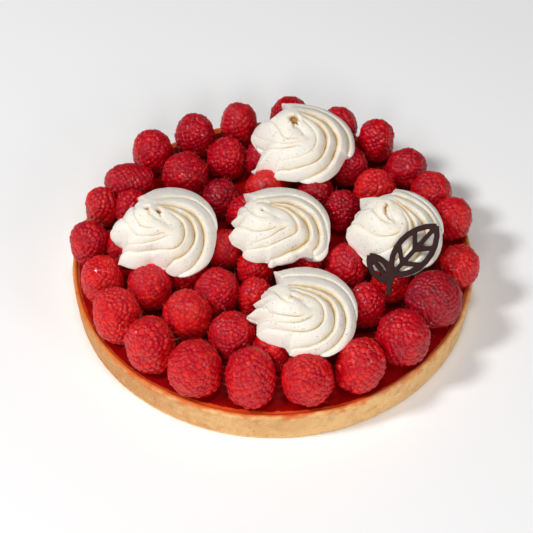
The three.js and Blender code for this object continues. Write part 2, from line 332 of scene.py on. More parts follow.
def crustProfile():  # radius and height, from the middle of the underside round to the floor
    form = crustSettings
    bevel = form["footBevel"]
    line = [(radius, 0) for radius in form["underRings"]]
    for step in range(form["footSteps"] + 1):  # rounded foot
        turn = math.radians(90 * step / form["footSteps"])
        line.append((form["baseRadius"] - bevel * (1 - math.sin(turn)),
                     bevel * (1 - math.cos(turn))))
    wallTop = form["height"] - form["outerLip"]
    for row in range(1, form["wallRows"] + 1):
        share = row / form["wallRows"]
        line.append((form["baseRadius"] + (form["rimRadius"] - form["baseRadius"]) * share,
                     bevel + (wallTop - bevel) * share))
    lip = form["outerLip"]
    for step in range(1, form["lipSteps"] + 1):
        turn = math.radians(90 * step / form["lipSteps"])
        line.append((form["rimRadius"] - lip * (1 - math.cos(turn)),
                     wallTop + lip * math.sin(turn)))
    inner = form["rimRadius"] - form["wall"]
    innerTop = form["height"] - form["innerDrop"]
    lip = form["innerLip"]
    line.append((inner + lip, (form["height"] + innerTop) / 2 + 0.1))
    for step in range(form["lipSteps"] + 1):
        turn = math.radians(90 * step / form["lipSteps"])
        line.append((inner + lip * (1 - math.sin(turn)), innerTop - lip * (1 - math.cos(turn))))
    line += [(inner - inward, height) for inward, height in form["innerWall"]]
    return line + [(form["floorRing"], form["floor"])]


def wavyRings(line, turn):  # the profile taken round, with the slow waves of a real shell
    form = crustSettings
    lifts = sum(np.sin(turn * count + count) for count in form["waveLifts"]) / 2
    swells = sum(np.sin(turn * count + 2 * count) for count in form["waveSwells"]) / 2
    radius, height = (np.array(column)[:, None] * np.ones(len(turn)) for column in zip(*line))
    share = np.clip(height / form["height"], 0, 1)
    radius = radius + np.where(radius > 90, share * swells * form["waveRadius"], 0)
    return radius, height + share * share * lifts * form["waveHeight"]


def crustTones(angles, radius, height, lump):  # how baked it is, paler at the foot and, partly as painted light, paler on the right front; and where glaze has coloured it
    look = crustSettings["look"]
    rim = crustSettings["rimRadius"]
    brownSide = bell(angles, look["brownSide"], look["brownWidth"])
    paleSide = bell(angles, look["paleSide"], look["paleWidth"])
    bake = look["bake"] + look["brownBake"] * brownSide + look["paleBakeAndLight"] * paleSide
    bake = bake - 0.5 * smoothStep(height, 1.8, 0.5)
    inward = radius + 0.8 * lump
    onRim = smoothStep(inward, rim + 0.1, rim - 1.1) * smoothStep(height, 12, 16)
    # the rim's orange paler there too, partly painted light
    onRim = onRim * (1 - 0.3 * paleSide)
    stain = smoothStep(inward, rim - 0.9, rim - 2.2) * smoothStep(height, 10, 15)
    stain = stain * (0.6 + 0.4 * bell(angles, look["stainAt"], look["stainWidth"]))
    return {"bake": withPoles(bake), "rim": withPoles(onRim), "stain": withPoles(stain)}


def buildCrust():
    form = crustSettings
    line = crustProfile()
    angles = np.arange(form["columns"]) * 360 / form["columns"]
    turn = np.radians(angles)
    radius, height = wavyRings(line, turn)
    plain = polar(radius, turn, height)
    lump = grainAt(plain * (1, 1, 1.6), form["lumpSize"])
    sand = grainAt(plain, form["sandSize"], 2)
    chips = grainAt(plain + 50, form["chipSize"], 2)
    shown = smoothStep(radius, 92, 97) * smoothStep(height, 0.05, 0.9)
    radius = radius + shown * (lump * form["lump"] + sand * form["sand"] - form["inset"])
    foot = smoothStep(height, 2.2, 0.2) * smoothStep(radius, 97, 99.5)
    chipDepth = foot * np.clip(chips - 0.25, 0, 1) * form["chip"] * 2
    radius = radius - chipDepth
    top = smoothStep(height, form["height"] - 1.6, form["height"] - 0.4)
    height = height + top * (lump * form["topLump"] + sand * form["topSand"]) + chipDepth * 0.5
    points = polar(radius, turn, height).reshape(-1, 3)
    points = np.vstack([[0, 0, 0], points, [0, 0, form["floor"]]])
    faces = [face[::-1] for face in ringFaces(len(line), form["columns"])]
    tones = crustTones(angles, radius, height, lump)
    piece = makePiece("crust_shell", points, faces, crustMaterial(), tones)
    return settle(piece, "crust", "crust")


# Raspberries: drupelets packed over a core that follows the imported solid

berrySettings = {
    "drupelet": 2.8,      # mm between the middles of drupelets
    "spread": 0.1,        # how much that differs between berries
    "packing": 0.84,      # area that each takes, in squares of that distance
    "bulge": 0.67,        # radius of a drupelet, as a share of that distance
    "flatness": 0.68,     # height of a drupelet's dome against its radius
    "proud": 0.3,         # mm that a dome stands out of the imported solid
    "fillDepth": 0.26,    # mm below it where the flesh between the domes begins
    "lump": 0.45, "lumpSize": 6.5,  # mm that the outline swells, and over what distance
    "jitter": 0.12, "unevenSize": 0.13, "seed": 41,
    "leanSpread": 14,     # degrees that most berries lean at most
    "rounding": 1.01,     # makes up for what smoothing the solid takes off
    "leaning": {"raspberry_05": (40, -100), "raspberry_09": (20, -60),  # degrees, and heading
                "raspberry_16": (75, 190), "raspberry_21": (15, -70)},
    "pushed": {"raspberry_01": (0, -3.2), "raspberry_03": (-2, -1.5),   # mm that a foot sags
               "raspberry_05": (0.9, -0.8), "raspberry_19": (0.6, -2.4),
               "raspberry_20": (1.4, -2.1), "raspberry_21": (1.1, -3)},
    "sagFrom": 32, "sagTo": 21,  # mm of height where a sag begins and where it is full
    "shadeBehind": 2.5,   # painted shade: how much darker a berry is drawn for each metre further back, as the light falls off towards the back
    # how dark these berries are drawn, given one by one in place of a random ripeness and the shade
    # behind
    "darkness": {"raspberry_05": 0.85, "raspberry_04": 0.5, "raspberry_33": 0.05,
                 "raspberry_29": 0.1, "raspberry_19": 0.05, "raspberry_20": 0.05,
                 "raspberry_06": 0.1, "raspberry_37": 0.9, "raspberry_31": 0.8,
                 "raspberry_32": 0.8},
    "look": {
        "surface": {"Roughness": 0.5, "Specular IOR Level": 0.0, "Coat Weight": 0.8,
                    "Coat Roughness": 0.1, "Coat IOR": 1.5, "Subsurface Weight": 0.6,
                    "Subsurface Radius": (1.0, 0.12, 0.1), "Subsurface Scale": 0.8 * mm},
        "deep": (110, 0, 16), "crimson": (166, 0, 22), "red": (200, 4, 20), "orange": (226, 26, 22),
        "limbShade": (112, 8, 22), "gap": (200, 10, 26), "bloomAndSheen": (236, 80, 92), "bloomAndSheenShare": 0.04,
    },
}


def berryMaterial():
    look = berrySettings["look"]
    material, bench, shader, place = startMaterial("raspberry skin", look["surface"])
    cap = bench.attribute("cap")
    patch = bench.noise(place, 110)
    warmth = bench.math("ADD", bench.times(bench.attribute("tone"), 0.5), bench.times(patch, 0.5))
    # less warm where riper, and in painted shade towards the back
    warmth = bench.math("SUBTRACT", bench.math("ADD", warmth, 0.3), bench.attribute("ripe"))
    # a paler pink band on each drupelet's flank: partly the fruit's bloom and hairs, partly painted
    # sheen
    bloomAndSheen = bench.times(bench.remap(cap, 0.66, 0.54), look["bloomAndSheenShare"])
    # painted shade: darker crimson towards each berry's outline, where the skin turns away from the eye
    facing = bench.add("ShaderNodeLayerWeight", {"Blend": 0.5}).outputs["Facing"]
    bench.feed(shader.inputs["Base Color"], bench.paint(
        look, "crimson", (bench.remap(warmth, 0.0, 0.5), "red"),
        (bench.remap(warmth, 0.45, 0.9), "orange"), (bench.remap(warmth, 0.05, -0.4), "deep"),
        # painted light: the crevices between drupelets drawn bright red, standing in for light shining
        # through the fruit
        (bloomAndSheen, "bloomAndSheen"), (bench.remap(cap, 0.56, 0.4), "gap"),
        (bench.remap(facing, 0.4, 0.9, 0.0, 0.6), "limbShade")))
    down = bench.noise(place, 2600, 2, 0.6)
    bench.feed(shader.inputs["Normal"], bench.bump(down, 0.18, 0.12 * mm))
    return material


def drupeletDome(bench):  # nine sides, closed below, with how far up its dome a point lies
    start = math.radians(-25)
    place = bench.make("GeometryNodeInputPosition")
    cone = bench.make("GeometryNodeMeshCone", {
        "Vertices": 9, "Side Segments": 3, "Radius Top": 0.0, "Radius Bottom": 1.0, "Depth": 1.0},
        fill_type="TRIANGLE_FAN")
    x, y, z = bench.split(place)
    rise = bench.math("ADD", bench.times(z, math.radians(90) - start), start)
    flat = bench.combine(x, y)
    around = bench.vector("NORMALIZE", flat)
    dome = bench.vector("ADD", bench.scaled(around, bench.math("COSINE", rise)),
                        bench.combine(z=bench.math("SINE", rise)))
    onSide = bench.math("GREATER_THAN", bench.vector("LENGTH", flat), 0.01)
    bent = bench.make("GeometryNodeSetPosition", {
        "Geometry": cone, "Selection": onSide, "Position": dome})
    centre = bench.math("LESS_THAN", bench.vector("LENGTH", place), 0.01)
    bent = bench.make("GeometryNodeSetPosition", {
        "Geometry": bent, "Selection": centre, "Position": bench.combine(z=math.sin(start))})
    return bench.store(bench.smooth(bent), "cap", bench.split(place)[2])


def berryBody(bench, given):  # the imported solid, smoothed, rounded out, lumpy and sagging at its foot
    solid = bench.add("GeometryNodeObjectInfo", {"Object": given["Solid"]}).outputs["Geometry"]
    joined = bench.make("GeometryNodeMergeByDistance", {"Geometry": solid, "Distance": 0.02 * mm})
    place = bench.make("GeometryNodeInputPosition")
    normal = bench.make("GeometryNodeInputNormal")
    lumps = bench.noise(place, bench.math("DIVIDE", 1.0, given["Lump size"]), 1)
    lumps = bench.times(bench.math("SUBTRACT", lumps, 0.5), given["Lump"], 4.0)
    fromCentre = bench.vector("SUBTRACT", place, given["Centre"])
    grown = bench.vector("ADD", given["Centre"], bench.scaled(fromCentre, given["Rounding"]))
    sag = bench.remap(bench.split(place)[2], given["Sag from"], given["Sag to"])
    grown = bench.vector("ADD", grown, bench.scaled(given["Push"], sag))
    smooth = bench.make("GeometryNodeSubdivisionSurface", {"Mesh": joined, "Level": 2})
    return bench.make("GeometryNodeSetPosition", {
        "Geometry": smooth, "Position": grown, "Offset": bench.scaled(normal, lumps)})


def drupeletRays(bench, given):  # even directions by the golden angle, the first at the berry's tip
    index = bench.make("GeometryNodeInputIndex")
    share = bench.math("DIVIDE", bench.math("ADD", index, 0.5), given["Drupelets"])
    up = bench.math("SUBTRACT", 1.0, bench.times(share, 2.0))
    out = bench.math("SQRT", bench.math("SUBTRACT", 1.0, bench.times(up, up)))
    turn = bench.times(index, math.pi * (3 - math.sqrt(5)))
    ray = bench.combine(bench.times(out, bench.math("COSINE", turn)),
                        bench.times(out, bench.math("SINE", turn)), up)
    ray = bench.make("ShaderNodeVectorRotate", {"Vector": ray, "Rotation": given["Turn"]},
                     rotation_type="EULER_XYZ")
    stray = bench.random((-1, -1, -1), (1, 1, 1), given["Seed"])
    return bench.vector("NORMALIZE", bench.vector(
        "ADD", ray, bench.scaled(stray, given["Jitter"])))


def berryTree():
    bench, given = startTree("raspberry", {
        "Solid": "Object", "Centre": "Vector", "Turn": "Vector", "Push": "Vector",
        "Rounding": "Float", "Drupelets": "Int", "Radius": "Float", "Flatness": "Float",
        "Proud": "Float", "Lump": "Float", "Lump size": "Float", "Jitter": "Float",
        "Uneven size": "Float", "Fill depth": "Float", "Sag from": "Float", "Sag to": "Float",
        "Ripeness and shade": "Float", "Seed": "Int", "Skin": "Material"})
    body = berryBody(bench, given)
    hit = bench.add("GeometryNodeRaycast", {
        "Target Geometry": body, "Source Position": given["Centre"],
        "Ray Direction": drupeletRays(bench, given), "Ray Length": 0.1}).outputs
    inset = bench.math("SUBTRACT", bench.times(given["Radius"], given["Flatness"]), given["Proud"])
    seat = bench.vector("SUBTRACT", hit["Hit Position"], bench.scaled(hit["Hit Normal"], inset))
    points = bench.make("GeometryNodePoints", {"Count": given["Drupelets"], "Position": seat})
    shown = bench.math("GREATER_THAN", bench.split(hit["Hit Normal"])[2], -0.85)
    size = bench.times(bench.random(-1.0, 1.0, given["Seed"]), given["Uneven size"])
    size = bench.times(bench.math("ADD", 1.0, size), given["Radius"])
    facing = bench.make("FunctionNodeAlignRotationToVector", {"Vector": hit["Hit Normal"]},
                        axis="Z")
    packed = bench.make("GeometryNodeInstanceOnPoints", {
        "Points": points, "Selection": shown, "Instance": drupeletDome(bench), "Rotation": facing,
        "Scale": bench.combine(size, size, bench.times(size, given["Flatness"]))})
    packed = bench.store(packed, "tone", bench.random(0.0, 1.0, given["Seed"]), "INSTANCE")
    deeper = bench.scaled(bench.make("GeometryNodeInputNormal"),
                          bench.times(given["Fill depth"], -1.0))
    core = bench.make("GeometryNodeSetPosition", {"Geometry": body, "Offset": deeper})
    both = bench.add("GeometryNodeJoinGeometry")
    for part in (bench.smooth(core), bench.realize(packed)):
        bench.feed(both.inputs[0], part)
    return endTree(bench, bench.store(both.outputs[0], "ripe", given["Ripeness and shade"]), given["Skin"])


def eggArea(half):  # about the surface of a rounded body with these half sizes
    power = 1.6
    pairs = (half.x * half.y) ** power + 2 * (half.x * half.z) ** power
    return 2 * fullTurn * (pairs / 3) ** (1 / power)


def buildBerries():
    form = berrySettings
    tree = berryTree()
    skin = berryMaterial()
    draw = np.random.default_rng(form["seed"])
    berries = []
    for number, node in enumerate(berryNodes):
        low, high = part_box(node)
        half = (high - low) / 2
        spacing = form["drupelet"] * mm * (1 + form["spread"] * draw.uniform(-1, 1))
        lean, heading = form["leaning"].get(
            node, (form["leanSpread"] * math.sqrt(draw.random()), draw.uniform(0, 360)))
        turn = Matrix.Rotation(math.radians(heading), 3, "Z") @ Matrix.Rotation(
            math.radians(lean), 3, "Y") @ Matrix.Rotation(draw.uniform(0, fullTurn), 3, "Z")
        # a random ripeness, and painted shade that grows towards the back
        ripe = float(draw.uniform(0.15, 0.6)) + form["shadeBehind"] * (low + high).y / 2
        berry = growPiece(node + "_fruit", tree, {
            "Solid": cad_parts[node], "Centre": (low + high) / 2, "Turn": turn.to_euler(),
            "Push": Vector((*form["pushed"].get(node, (0, 0)), 0)) * mm,
            "Rounding": form["rounding"],
            "Drupelets": round(eggArea(half) / (spacing ** 2 * form["packing"])),
            "Radius": spacing * form["bulge"], "Flatness": form["flatness"],
            "Proud": form["proud"] * mm, "Lump": form["lump"] * mm,
            "Lump size": form["lumpSize"] * mm, "Jitter": form["jitter"] * spacing / half.x,
            "Uneven size": form["unevenSize"], "Fill depth": form["fillDepth"] * mm,
            "Sag from": form["sagFrom"] * mm, "Sag to": form["sagTo"] * mm,
            "Ripeness and shade": form["darkness"].get(node, ripe), "Seed": number, "Skin": skin})
        berries.append(settle(berry, "berry", node))
    return berries


# Fruit glaze between the berries

jamSettings = {  # mm
    "level": 16, "radius": 98.6, "floor": 4.2, "rings": 110, "columns": 330,
    "swell": 0.12, "swellSize": 14,        # how uneven its top is, and over what distance
    "creep": 1.1, "creepReach": 1.0,       # how far it climbs a berry
    "edgeCreep": 0.5, "edgeReach": 1.2,    # and the shell
    "shoreWidth": 0.9, "frontShore": 1.5,  # thin glaze along the shell
    "look": {
        "surface": {"Roughness": 0.3, "Specular IOR Level": 0.2, "Coat Weight": 0.35,
                    "Coat Roughness": 0.1, "Subsurface Weight": 0.2,
                    "Subsurface Radius": (1.0, 0.1, 0.05), "Subsurface Scale": 1.5 * mm},
        "thin": (172, 10, 8), "thick": (136, 0, 6), "shore": (226, 80, 24),
    },
}


def jamMaterial():
    look = jamSettings["look"]
    material, bench, shader, place = startMaterial("fruit glaze", look["surface"])
    depth = bench.remap(bench.noise(place, 70, 3), 0.35, 0.65)
    thin = bench.math("MAXIMUM", bench.times(depth, 0.5), bench.attribute("edge"))
    uneven = bench.times(bench.math("SUBTRACT", bench.noise(place, 420, 3, 0.65), 0.5), 1.6)
    shore = bench.remap(bench.math("ADD", bench.attribute("shore"), uneven), 0.4, 0.7)
    bench.feed(shader.inputs["Base Color"], bench.paint(
        look, "thick", (thin, "thin"), (shore, "shore")))
    waves = bench.bump(bench.noise(place, 320, 3, 0.55), 0.8, 0.6 * mm)
    for socket in ("Normal", "Coat Normal"):
        bench.feed(shader.inputs[socket], waves)
    return material


def gapToFruit(berries, x, y):  # mm from each point of the glaze to the nearest berry at its level
    wet = []
    for berry in berries:
        co = np.empty(len(berry.data.vertices) * 3, dtype=np.float32)
        berry.data.vertices.foreach_get("co", co)
        co = co.reshape(-1, 3) / mm
        wet.append(co[np.abs(co[:, 2] - jamSettings["level"] - 0.3) < 0.7])
    wet = np.concatenate(wet)
    tree = kdtree.KDTree(len(wet))
    for number, point in enumerate(wet):
        tree.insert((point[0], point[1], 0), number)
    tree.balance()
    gap = [tree.find((a, b, 0))[2] for a, b in zip(x.ravel(), y.ravel())]
    return np.array(gap).reshape(x.shape)


def buildJam(berries):
    form = jamSettings
    columns = form["columns"]
    turn = np.arange(columns) * fullTurn / columns
    share = np.linspace(0, 1, form["rings"] + 1)[1:, None]
    radius = form["radius"] * (1 - (1 - share) ** 1.25)  # finer towards the shell
    x = radius * np.cos(turn)
    y = radius * np.sin(turn)
    gap = gapToFruit(berries, x, y)
    toShell = form["radius"] - radius
    flat = np.stack([x, y, 0 * x], -1)
    height = form["level"] + form["swell"] * grainAt(flat, form["swellSize"])
    height = height + form["creep"] * np.exp(-gap / form["creepReach"])
    height = height + form["edgeCreep"] * np.exp(-toShell / form["edgeReach"])
    rows = [np.stack([x, y, height], -1)]
    for z in (form["level"] - 1, 10, form["floor"]):  # its side, a little further in
        rows.append(np.stack([0.98 * x[-1:], 0.98 * y[-1:], np.full((1, columns), z)], -1))
    points = np.concatenate(rows)
    rings = len(points)
    points = np.vstack([[0, 0, form["level"]], points.reshape(-1, 3), [0, 0, form["floor"]]])
    edge = np.maximum(np.exp(-toShell / 1.6), 0.7 * np.exp(-gap / 0.6))
    shell = crustSettings["look"]
    front = bell(np.degrees(turn), shell["stainAt"], shell["stainWidth"])
    shore = smoothStep(toShell / (form["shoreWidth"] + form["frontShore"] * front), 1.6, 0.7)
    side = np.ones((rings - len(x), columns))
    tones = {name: withPoles(np.concatenate([tone, side]), last=1)
             for name, tone in (("edge", edge), ("shore", shore))}
    piece = makePiece("fruit_glaze", points, ringFaces(rings, columns), jamMaterial(), tones)
    return settle(piece, "jam", "filling")


# Piped rosettes: a dome, the folds between its arms wound round it, and a skirt below

creamSettings = {  # mm, and shares of the outline
    "rings": 140, "columns": 400, "skirtRings": 18, "base": 32.5, "tiltHeading": 70,
    "fullness": 2.1, "roundness": 0.86,     # of the dome's curve
    "skirtDraw": 0.2, "skirtWind": 14,      # how far the skirt draws in, and degrees it winds on
    "softSide": 3.6, "softNear": 0.8, "softShare": 0.75,     # the slope down to a fold
    "sharpSide": 0.22, "crestRun": 1.2, "wallShare": 0.6,    # the wall beyond it
    "crevice": 0.35, "creviceWidth": 0.28, "overhang": 0.35, "overhangRun": 0.9,
    "overhangStart": 0.2, "seamShadeWidth": 0.45, "dieOut": 40, "edgeFrom": 0.72,
    "spikeWidth": 2.2, "ripple": 0.14, "rippleSize": 5, "ragged": 0.35, "raggedSize": 2.2,
    "raggedSide": 165, "raggedWidth": 60,   # degrees
    "calmWindow": 71, "calmPower": 2.5,     # how the outline calms towards the top
    "foldStart": 70, "foldEnd": 20, "foldWindow": 17,  # degrees added to a fold, and smoothed over
    "look": {
        "surface": {"Roughness": 0.55, "Specular IOR Level": 0.3, "Subsurface Weight": 0.4,
                    "Subsurface Radius": (1.0, 0.75, 0.5), "Subsurface Scale": 1.5 * mm},
        # beige and golden are painted shade in the folds, pit is painted shade in the hollows
        "ivory": (245, 239, 228), "beigeShade": (228, 206, 166), "goldenShade": (196, 152, 92),
        "pitShade": (190, 134, 66), "speckle": (176, 164, 150),
    },
}
# edge: angle in degrees and share of the radius; spikes: angle, and how far the tip reaches in mm
# folds: depth and depth at the edge in mm, then the angles and the shares of the calm outline that
# the fold runs through
# creases: short folds on the crest, depth and width in mm, then points from the middle in mm
# hollows: place from the middle, radius and depth in mm
rosettes = [
    {
        "node": "cream_left", "at": (-53, -4.5), "radius": 26.5, "mid": 40.8, "tilt": 4.8,
        "tip": (-6, 0, 57), "low": (1.5, -5, 52),
        "edge": [
            (0, 0.98), (60, 1), (100, 0.98), (118, 0.94), (126, 0.93), (130, 0.81), (137, 0.84),
            (150, 0.89), (158, 0.9), (168, 0.98), (182, 1.04), (190, 0.98), (200, 0.86),
            (208, 0.93), (219, 1.04), (230, 0.98), (242, 0.86), (254, 0.74), (265, 0.8),
            (274, 0.89), (283, 1.04), (300, 1.1), (320, 1.09), (340, 1.01)],
        "spikes": [(126, 1.2), (219, 1.6)],
        "folds": [
            (1.3, 1.6, [(136, 1.04), (144, 0.82), (155, 0.55), (177, 0.47), (213, 0.41),
                        (253, 0.26)]),
            (1.6, 1.6, [(162, 0.97), (168, 0.79), (184, 0.69), (218, 0.59), (252, 0.47),
                        (280, 0.25)]),
            (1.7, 1.2, [(190, 1.08), (201, 0.91), (221, 0.76), (252, 0.6), (285, 0.31)]),
            (2.2, 2.4, [(204, 1.08), (213, 0.92), (234, 0.83), (262, 0.71), (293, 0.59),
                        (321, 0.46), (343, 0.38), (378, 0.25), (398, 0.19)]),
            (2.9, 2.8, [(256, 1.18), (263, 1.02), (285, 0.8), (308, 0.71), (338, 0.63), (370, 0.51),
                        (396, 0.36), (430, 0.22)]),
            (2.5, 1.8, [(268, 1.14), (290, 1.01), (317, 0.89), (347, 0.79), (375, 0.67),
                        (399, 0.52), (426, 0.32), (457, 0.18)]),
            (0.9, 0.5, [(350, 1.02), (378, 0.92), (407, 0.78), (433, 0.54), (460, 0.36)])],
        "creases": [
            (1.6, 0.7, [(-8.3, 1.9), (-6.6, -1.8), (-3, -3.4), (-0.2, -3.5)]),
            (1.6, 0.7, [(-2, 1), (-0.6, -2.8)])],
        "hollows": [(-8.3, 1.9, 1.2, 3.4), (-2, 1, 1.2, 3.4)],
    },
    {
        "node": "cream_front", "at": (14, -54.5), "radius": 26.4, "mid": 38.8, "tilt": 2.8,
        "tip": (-4, -2, 53), "low": (2.7, -5.5, 49),
        "edge": [
            (0, 1), (50, 1), (100, 0.99), (119, 0.99), (124, 0.76), (134, 0.74), (141, 0.82),
            (152, 0.82), (163, 0.8), (168, 0.88), (176, 0.82), (186, 1.01), (196, 0.86),
            (210, 0.95), (230, 0.88), (246, 0.82), (257, 1), (275, 1), (300, 1.08), (320, 1.08),
            (344, 1.03)],
        "spikes": [(119, 1.5), (168, 1.2), (186, 0.8)],
        "folds": [
            (1.7, 1.2, [(140, 1.16), (148, 0.86), (156, 0.58), (172, 0.39), (193, 0.26),
                        (222, 0.13)]),
            (2, 1.4, [(171, 1.06), (175, 0.93), (190, 0.71), (220, 0.52), (254, 0.35), (280, 0.2)]),
            (1.8, 1.2, [(190, 1.08), (199, 0.89), (215, 0.73), (245, 0.55), (276, 0.35),
                        (305, 0.23)]),
            (2.1, 1.6, [(207, 1.04), (215, 0.88), (228, 0.79), (258, 0.65), (293, 0.54),
                        (337, 0.34), (385, 0.23), (430, 0.15), (485, 0.2)]),
            (2.9, 2.2, [(245, 1.08), (262, 0.91), (290, 0.81), (317, 0.7), (335, 0.61), (371, 0.48),
                        (408, 0.32), (437, 0.26), (479, 0.28)]),
            (2.5, 2.2, [(298, 0.96), (324, 0.88), (353, 0.78), (381, 0.64), (411, 0.45),
                        (440, 0.35), (478, 0.37)]),
            (1, 0.6, [(345, 1), (370, 0.92), (400, 0.83), (426, 0.69), (455, 0.6), (484, 0.78)])],
        "creases": [(2.8, 1, [(-4.6, -1.6), (-2, -2.6), (0.4, -2.6)])],
        "hollows": [],
    },
    {
        "node": "cream_middle", "at": (3.6, 0.5), "radius": 25, "mid": 38.5, "tilt": 2.5,
        "tip": (-8, -0.5, 53), "low": (-1, -4, 50),
        "edge": [
            (0, 1), (60, 1.02), (110, 1.05), (124, 1.08), (130, 1.14), (134, 0.96), (141, 0.9),
            (147, 0.97), (160, 0.92), (166, 0.88), (171, 0.96), (181, 0.89), (192, 1.05),
            (203, 1.03), (214, 0.94), (226, 1.06), (240, 1.04), (250, 0.94), (259, 1), (267, 0.93),
            (285, 0.9), (305, 0.91), (310, 1.1), (318, 1.16), (337, 1.06)],
        "spikes": [(130, 1.5), (171, 1.2)],
        "folds": [
            (1.3, 2, [(144, 1.01), (156, 0.7), (170, 0.5), (189, 0.36), (210, 0.23), (240, 0.1)]),
            (2.1, 1.6, [(181, 1.02), (188, 0.84), (201, 0.7), (224, 0.56), (242, 0.45),
                        (275, 0.29)]),
            (1.6, 0.8, [(214, 1.01), (224, 0.83), (246, 0.62), (275, 0.42), (310, 0.29)]),
            (2.3, 1.8, [(212, 1.05), (219, 0.96), (242, 0.79), (270, 0.65), (300, 0.55),
                        (331, 0.41), (366, 0.28), (416, 0.18), (460, 0.13)]),
            (3, 2.4, [(249, 1), (267, 0.92), (296, 0.83), (326, 0.7), (354, 0.57), (384, 0.41),
                      (426, 0.24), (460, 0.17)]),
            (2.6, 2.4, [(300, 1.07), (316, 0.92), (345, 0.82), (372, 0.72), (399, 0.55),
                        (427, 0.36), (455, 0.2), (500, 0.31)]),
            (1.3, 0.8, [(338, 0.97), (368, 0.9), (398, 0.81), (423, 0.68), (445, 0.48), (470, 0.4),
                        (495, 0.52)])],
        "creases": [(1.2, 0.7, [(-8.5, -0.6), (-5.9, -1.4)])],
        "hollows": [(-8.5, -0.6, 0.9, 2.2)],
    },
    {
        "node": "cream_right", "at": (59.3, -5), "radius": 24.2, "mid": 41.2, "tilt": 5.2,
        "tip": (-3.6, 2.5, 58.8), "low": (0, -4.3, 54),
        "edge": [
            (0, 1.03), (60, 1.02), (85, 1.02), (89, 0.85), (103, 0.79), (120, 0.76), (128, 1),
            (142, 0.83), (148, 0.9), (158, 0.86), (168, 0.94), (184, 0.97), (204, 0.88),
            (213, 0.87), (232, 0.96), (262, 1.02), (292, 1.09), (320, 1.08)],
        "spikes": [(86, 0.8), (128, 2)],
        "folds": [
            (2, 1.4, [(146, 1.05), (152, 0.74), (162, 0.48), (183, 0.36), (218, 0.26),
                      (250, 0.14)]),
            (2, 1.4, [(168, 1.04), (176, 0.82), (202, 0.69), (226, 0.58), (262, 0.4), (295, 0.26)]),
            (2.2, 2.2, [(208, 1.1), (223, 0.95), (243, 0.81), (262, 0.65), (289, 0.45), (325, 0.32),
                        (370, 0.19)]),
            (2.6, 2.6, [(250, 0.98), (268, 0.82), (294, 0.66), (318, 0.54), (344, 0.41),
                        (370, 0.31), (406, 0.24), (440, 0.22)]),
            (2.9, 2.2, [(276, 0.95), (303, 0.82), (334, 0.71), (362, 0.58), (382, 0.43),
                        (400, 0.32), (430, 0.28)]),
            (1.8, 1.2, [(322, 0.95), (345, 0.89), (376, 0.79), (396, 0.65), (420, 0.52),
                        (446, 0.52)]),
            (0.9, 1, [(0, 0.97), (30, 0.86), (60, 0.78), (84, 0.94)])],
        "creases": [(2.6, 0.8, [(-3.7, 3), (-4.8, 1.2), (-4.3, -1.6), (-2.5, -3.4), (-0.3, -4)])],
        "hollows": [(-3.7, 3, 1, 3.2)],
    },
    {
        "node": "cream_back", "at": (15.3, 60.5), "radius": 27.2, "mid": 38, "tilt": 2,
        "tip": (-4.6, 3, 56), "low": (0.5, -4.5, 50),
        "edge": [
            (0, 1), (60, 1), (95, 1.01), (110, 1.13), (113, 0.9), (122, 0.79), (128, 0.86),
            (140, 0.85), (149, 0.91), (157, 1.04), (172, 1.01), (186, 0.91), (198, 0.84),
            (207, 0.98), (212, 1.08), (217, 1.18), (221, 1.02), (229, 0.9), (237, 1.05),
            (250, 0.99), (277, 1), (290, 1.04), (310, 1), (334, 0.92), (340, 0.98)],
        "spikes": [(110, 1.5), (217, 2)],
        "folds": [
            (1.7, 1, [(144, 1.05), (154, 0.75), (166, 0.54), (188, 0.45), (223, 0.38),
                      (254, 0.16)]),
            (1.3, 0.8, [(178, 0.9), (204, 0.64), (231, 0.44), (263, 0.23)]),
            (1.7, 1, [(182, 1), (192, 0.9), (206, 0.79), (229, 0.56), (256, 0.36)]),
            (1.3, 0.2, [(205, 1.07), (222, 0.92), (245, 0.69), (275, 0.51), (310, 0.36),
                        (338, 0.27), (371, 0.17), (410, 0.1)]),
            (2.9, 2.4, [(226, 1.06), (242, 0.89), (273, 0.74), (309, 0.63), (331, 0.56),
                        (366, 0.43), (395, 0.3), (425, 0.19)]),
            (2.9, 2.2, [(262, 1), (286, 0.9), (317, 0.82), (352, 0.71), (390, 0.57), (412, 0.41),
                        (440, 0.26)]),
            (1.8, 1.6, [(326, 1.02), (351, 0.94), (380, 0.89), (408, 0.81), (432, 0.65),
                        (460, 0.5)])],
        "creases": [(2, 1, [(-4.5, 0.5), (-4.3, -1.5), (-1, -2.2)])],
        "hollows": [(-5.4, 2.4, 1.7, 3.6), (-3.4, 2.6, 1.7, 3.6), (-4.5, 0.6, 1.3, 3)],
    },
]


def creamMaterial():
    look = creamSettings["look"]
    material, bench, shader, place = startMaterial("vanilla cream", look["surface"])
    patch = bench.noise(place, 160, 3)
    # painted shade: beige to golden in the folds, along their seams, towards the middle and more on the
    # right side
    warmShade = bench.times(bench.attribute("foldShade"), bench.remap(patch, 0.3, 0.65, 0.6, 1.0))
    dust = bench.noise(place, 1500, 2, 0.6)
    bench.feed(shader.inputs["Base Color"], bench.paint(
        look, "ivory", (bench.remap(warmShade, 0.12, 0.8), "beigeShade"),
        # painted shade: golden in the deepest folds, brown in the pits
        (bench.remap(warmShade, 0.75, 1.0, 0.0, 0.6), "goldenShade"), (bench.attribute("pitShade"), "pitShade"),
        (bench.remap(dust, 0.58, 0.74, 0.0, 0.4), "speckle")))
    fine = bench.noise(place, 900, 3, 0.6)
    relief = bench.math("ADD", fine, bench.times(bench.noise(place, 260), 2.0))
    bench.feed(shader.inputs["Normal"], bench.bump(relief, 0.25, 0.16 * mm))
    return material


